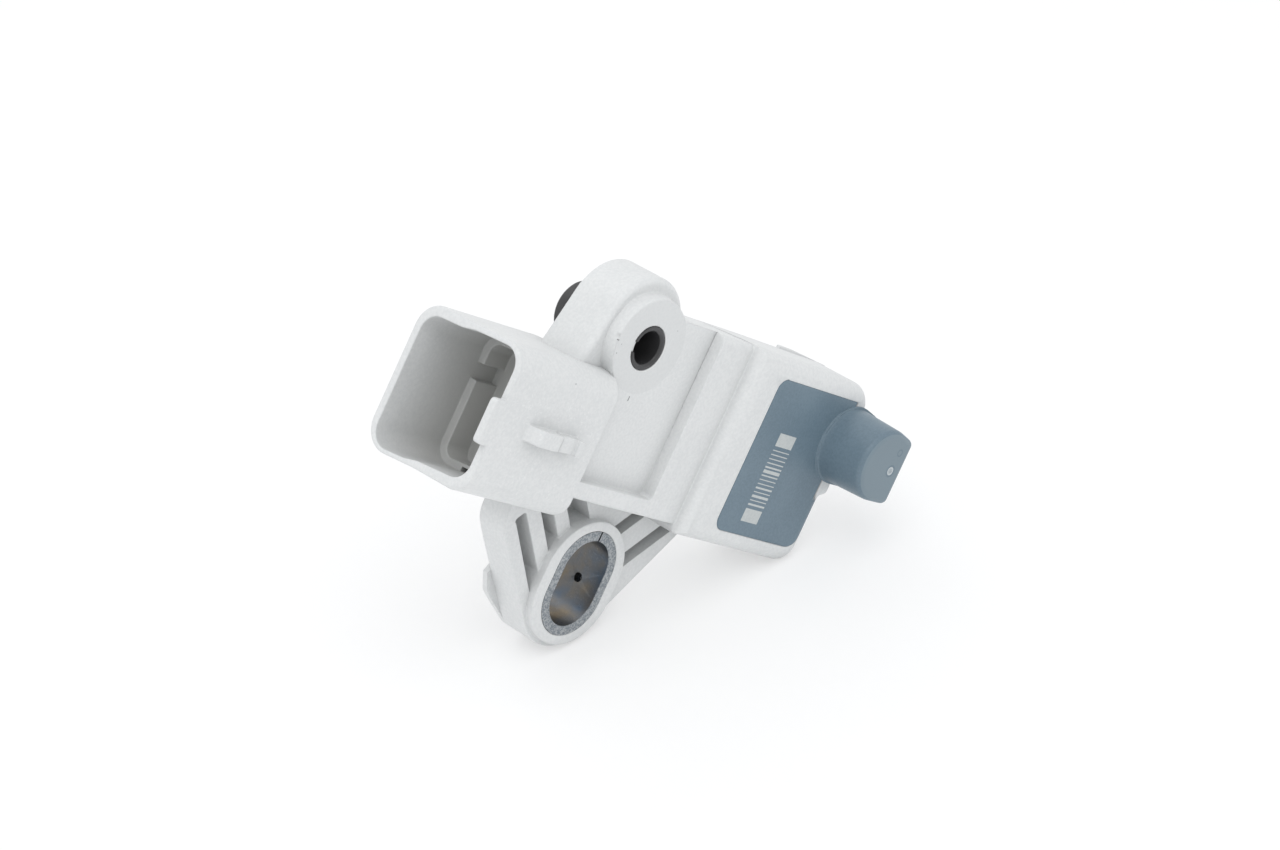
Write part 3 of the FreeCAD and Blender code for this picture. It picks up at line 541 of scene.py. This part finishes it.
# The bush for the bolt. Steel strip, zinc plated and rolled to an oval, with its seam at the top.
# Its sheared end is grey and speckled, its inside smooth and dark with a bloom of blue and brown.
BUSH_EDGE = 0.00006
BLOOM_BLUE = (0.1, 0.13, 0.17, 1)
BLOOM_BROWN = (0.18, 0.15, 0.108, 1)
SHEARED_DARK = (0.22, 0.245, 0.27, 1)
SHEARED_LIGHT = (0.46, 0.48, 0.495, 1)
FRONT_END, BACK_END = (-5.95, -6.05), (0.85, 0.95)

bush = Finish("bush_steel", metallic=1.0)
bloom = bush.noise(scale=210.0, detail=3.0)
speck = bush.noise(scale=4200.0, detail=3.0)
on_end = bush.ramp(bush.behind, *FRONT_END) + bush.ramp(bush.behind, *BACK_END)
inner = bush.mix(bush.ramp(bloom, 0.36, 0.66), BLOOM_BLUE, BLOOM_BROWN)
sheared = bush.mix(bush.ramp(speck, 0.4, 0.62), SHEARED_DARK, SHEARED_LIGHT)
bush.drive("Base Color", bush.mix(on_end, inner, sheared))
bush.drive("Roughness", bush.ramp(speck, 0.3, 0.7) * 0.16 + on_end * 0.12 + 0.26)
bush.bump(speck * on_end, depth=0.00002)
softened("bolt_bush", bush, BUSH_EDGE)


# The terminals and the chip's leads. Brass strip, tin plated, punched and bent, then welded to the
# leads. Only the terminals' blades show, in the socket.
TIN_DARK = (0.55, 0.53, 0.48, 1)
TIN_LIGHT = (0.72, 0.71, 0.68, 1)


def dress(node, finish):
    """Gives a piece of the frame its finish."""
    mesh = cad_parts[node].data
    mesh.materials.clear()
    mesh.materials.append(finish.material)


tin = Finish("tinned_brass", metallic=1.0)
cloud = tin.noise(scale=700.0, detail=3.0)
tin.drive("Base Color", tin.mix(tin.ramp(cloud, 0.35, 0.65), TIN_DARK, TIN_LIGHT))
tin.drive("Roughness", tin.ramp(cloud, 0.3, 0.7) * 0.15 + 0.28)
for number in (1, 2, 3):
    dress(f"terminal_{number}", tin)
    dress(f"chip_lead_{number}", tin)


# The chip and the capacitor, both shut inside the mouldings. The chip is black moulded epoxy, the
# capacitor has a brown dipped coat.
for node, dark, light, roughness in (
    ("hall_chip", (0.02, 0.02, 0.021, 1), (0.034, 0.034, 0.036, 1), 0.6),
    ("suppression_capacitor", (0.34, 0.15, 0.05, 1), (0.44, 0.21, 0.08, 1), 0.3),
):
    coat = Finish(node + "_coat", roughness=roughness)
    grain = coat.noise(scale=2400.0)
    coat.drive("Base Color", coat.mix(coat.ramp(grain, 0.35, 0.65), dark, light))
    coat.bump(grain, depth=0.00001)
    dress(node, coat)


# The table under the part, a sheet of matt white paper. It glows a little to the camera, more so
# away from the part, so that it turns white there and still takes the part's soft shadow.
FLOOR_HALF = 0.6
FLOOR_DROP = 0.00002
FLOOR_WHITE = (0.985, 0.985, 0.985, 1)
GLOW_NEAR, GLOW_FAR = 0.45, 1.0
NEAR_REACH, FAR_REACH = 0.1, 0.3


def background_ray(nodes):
    """1 for a ray that shows the background: from the camera, in a reflection or through glass."""
    shown = nodes.add("ShaderNodeLightPath", {}, {}, "Is Camera Ray")
    for kind in ("Is Glossy Ray", "Is Transmission Ray"):
        shown = nodes.above(shown, nodes.add("ShaderNodeLightPath", {}, {}, kind))
    return shown


floor_level = cad_box[0].z - FLOOR_DROP
floor_mesh = bpy.data.meshes.new("floor")
corners = ((-1, -1), (1, -1), (1, 1), (-1, 1))
floor_mesh.from_pydata(
    [(x * FLOOR_HALF, y * FLOOR_HALF, floor_level) for x, y in corners], [], [(0, 1, 2, 3)],
)
floor = bpy.data.objects.new("floor", floor_mesh)
bpy.context.scene.collection.objects.link(floor)
paper = bpy.data.materials.new("white_paper")
paper.use_nodes = True
paper.node_tree.nodes.clear()
sheet = Nodes(paper.node_tree)
place = sheet.add("ShaderNodeTexCoord", {}, {}, "Object")
away = sheet.add("ShaderNodeVectorMath", {"operation": "LENGTH"}, {0: place}, "Value")
glow_share = sheet.ramp(away, NEAR_REACH, FAR_REACH, GLOW_NEAR, GLOW_FAR)
matt = sheet.add("ShaderNodeBsdfDiffuse", {}, {"Color": FLOOR_WHITE})
glow = sheet.add("ShaderNodeEmission", {}, {"Strength": 1.0})
share = background_ray(sheet) * glow_share
lit = sheet.add("ShaderNodeMixShader", {}, {0: share, 1: matt, 2: glow})
sheet.add("ShaderNodeOutputMaterial", {}, {"Surface": lit})
floor_mesh.materials.append(paper)


# The studio. A white tent gives an even light from all round, and three large lamps on it shape the
# part: a window overhead, a weak one on the left and a rim behind. Each lamp has a direction from
# the part, a distance and a width in metres, and a power in watts.
TENT_LIGHT = 0.84
TENT_WHITE = (0.97, 0.985, 1.0, 1)
BACKGROUND_WHITE = (1, 1, 1, 1)
LAMPS = (
    ("window", (-0.15, -0.3, 0.95), 0.6, 0.5, 1.0),
    ("side", (-0.9, -0.15, 0.45), 0.7, 0.5, 0.16),
    ("rim", (0.1, 0.8, 0.7), 0.7, 0.4, 0.35),
)

world = bpy.data.worlds.new("studio")
bpy.context.scene.world = world
world.use_nodes = True
world.node_tree.nodes.clear()
tent = Nodes(world.node_tree)
cloth = tent.add("ShaderNodeBackground", {}, {"Color": TENT_WHITE, "Strength": TENT_LIGHT})
backdrop = tent.add("ShaderNodeBackground", {}, {"Color": BACKGROUND_WHITE, "Strength": 1.0})
lit = tent.add("ShaderNodeMixShader", {}, {0: background_ray(tent), 1: cloth, 2: backdrop})
tent.add("ShaderNodeOutputWorld", {}, {"Surface": lit})

middle = (cad_box[0] + cad_box[1]) / 2
for name, towards, distance, width, power in LAMPS:
    lamp = bpy.data.lights.new(name, "AREA")
    lamp.size = width
    lamp.energy = power
    holder = bpy.data.objects.new(name, lamp)
    bpy.context.scene.collection.objects.link(holder)
    direction = Vector(towards).normalized()
    holder.location = middle + direction * distance
    holder.rotation_mode = "QUATERNION"
    holder.rotation_quaternion = direction.to_track_quat("Z", "Y")


# The camera, at the place from which the picture was taken, with a long lens. Its place and its
# axes are given in the part's own frame.
CAMERA_PLACE = Vector((-0.28044, -0.30749, 0.26770))
CAMERA_RIGHT = Vector((0.72045, -0.69315, -0.02205))
CAMERA_BACK = Vector((-0.56352, -0.60365, 0.56396))
SENSOR_WIDTH, LENS_LENGTH = 36.0, 106.0
NEAREST = 0.01

camera_data = bpy.data.cameras.new("camera")
camera_data.sensor_width = SENSOR_WIDTH
camera_data.lens = LENS_LENGTH
camera_data.clip_start = NEAREST
camera = bpy.data.objects.new("camera", camera_data)
bpy.context.scene.collection.objects.link(camera)
right = CAMERA_RIGHT.normalized()
back = (CAMERA_BACK - right * CAMERA_BACK.dot(right)).normalized()
turn = Matrix((right, back.cross(right), back)).transposed()
camera.matrix_world = Matrix.Translation(CAMERA_PLACE) @ turn.to_4x4()
bpy.context.scene.camera = camera
bpy.context.scene.view_settings.view_transform = "Standard"
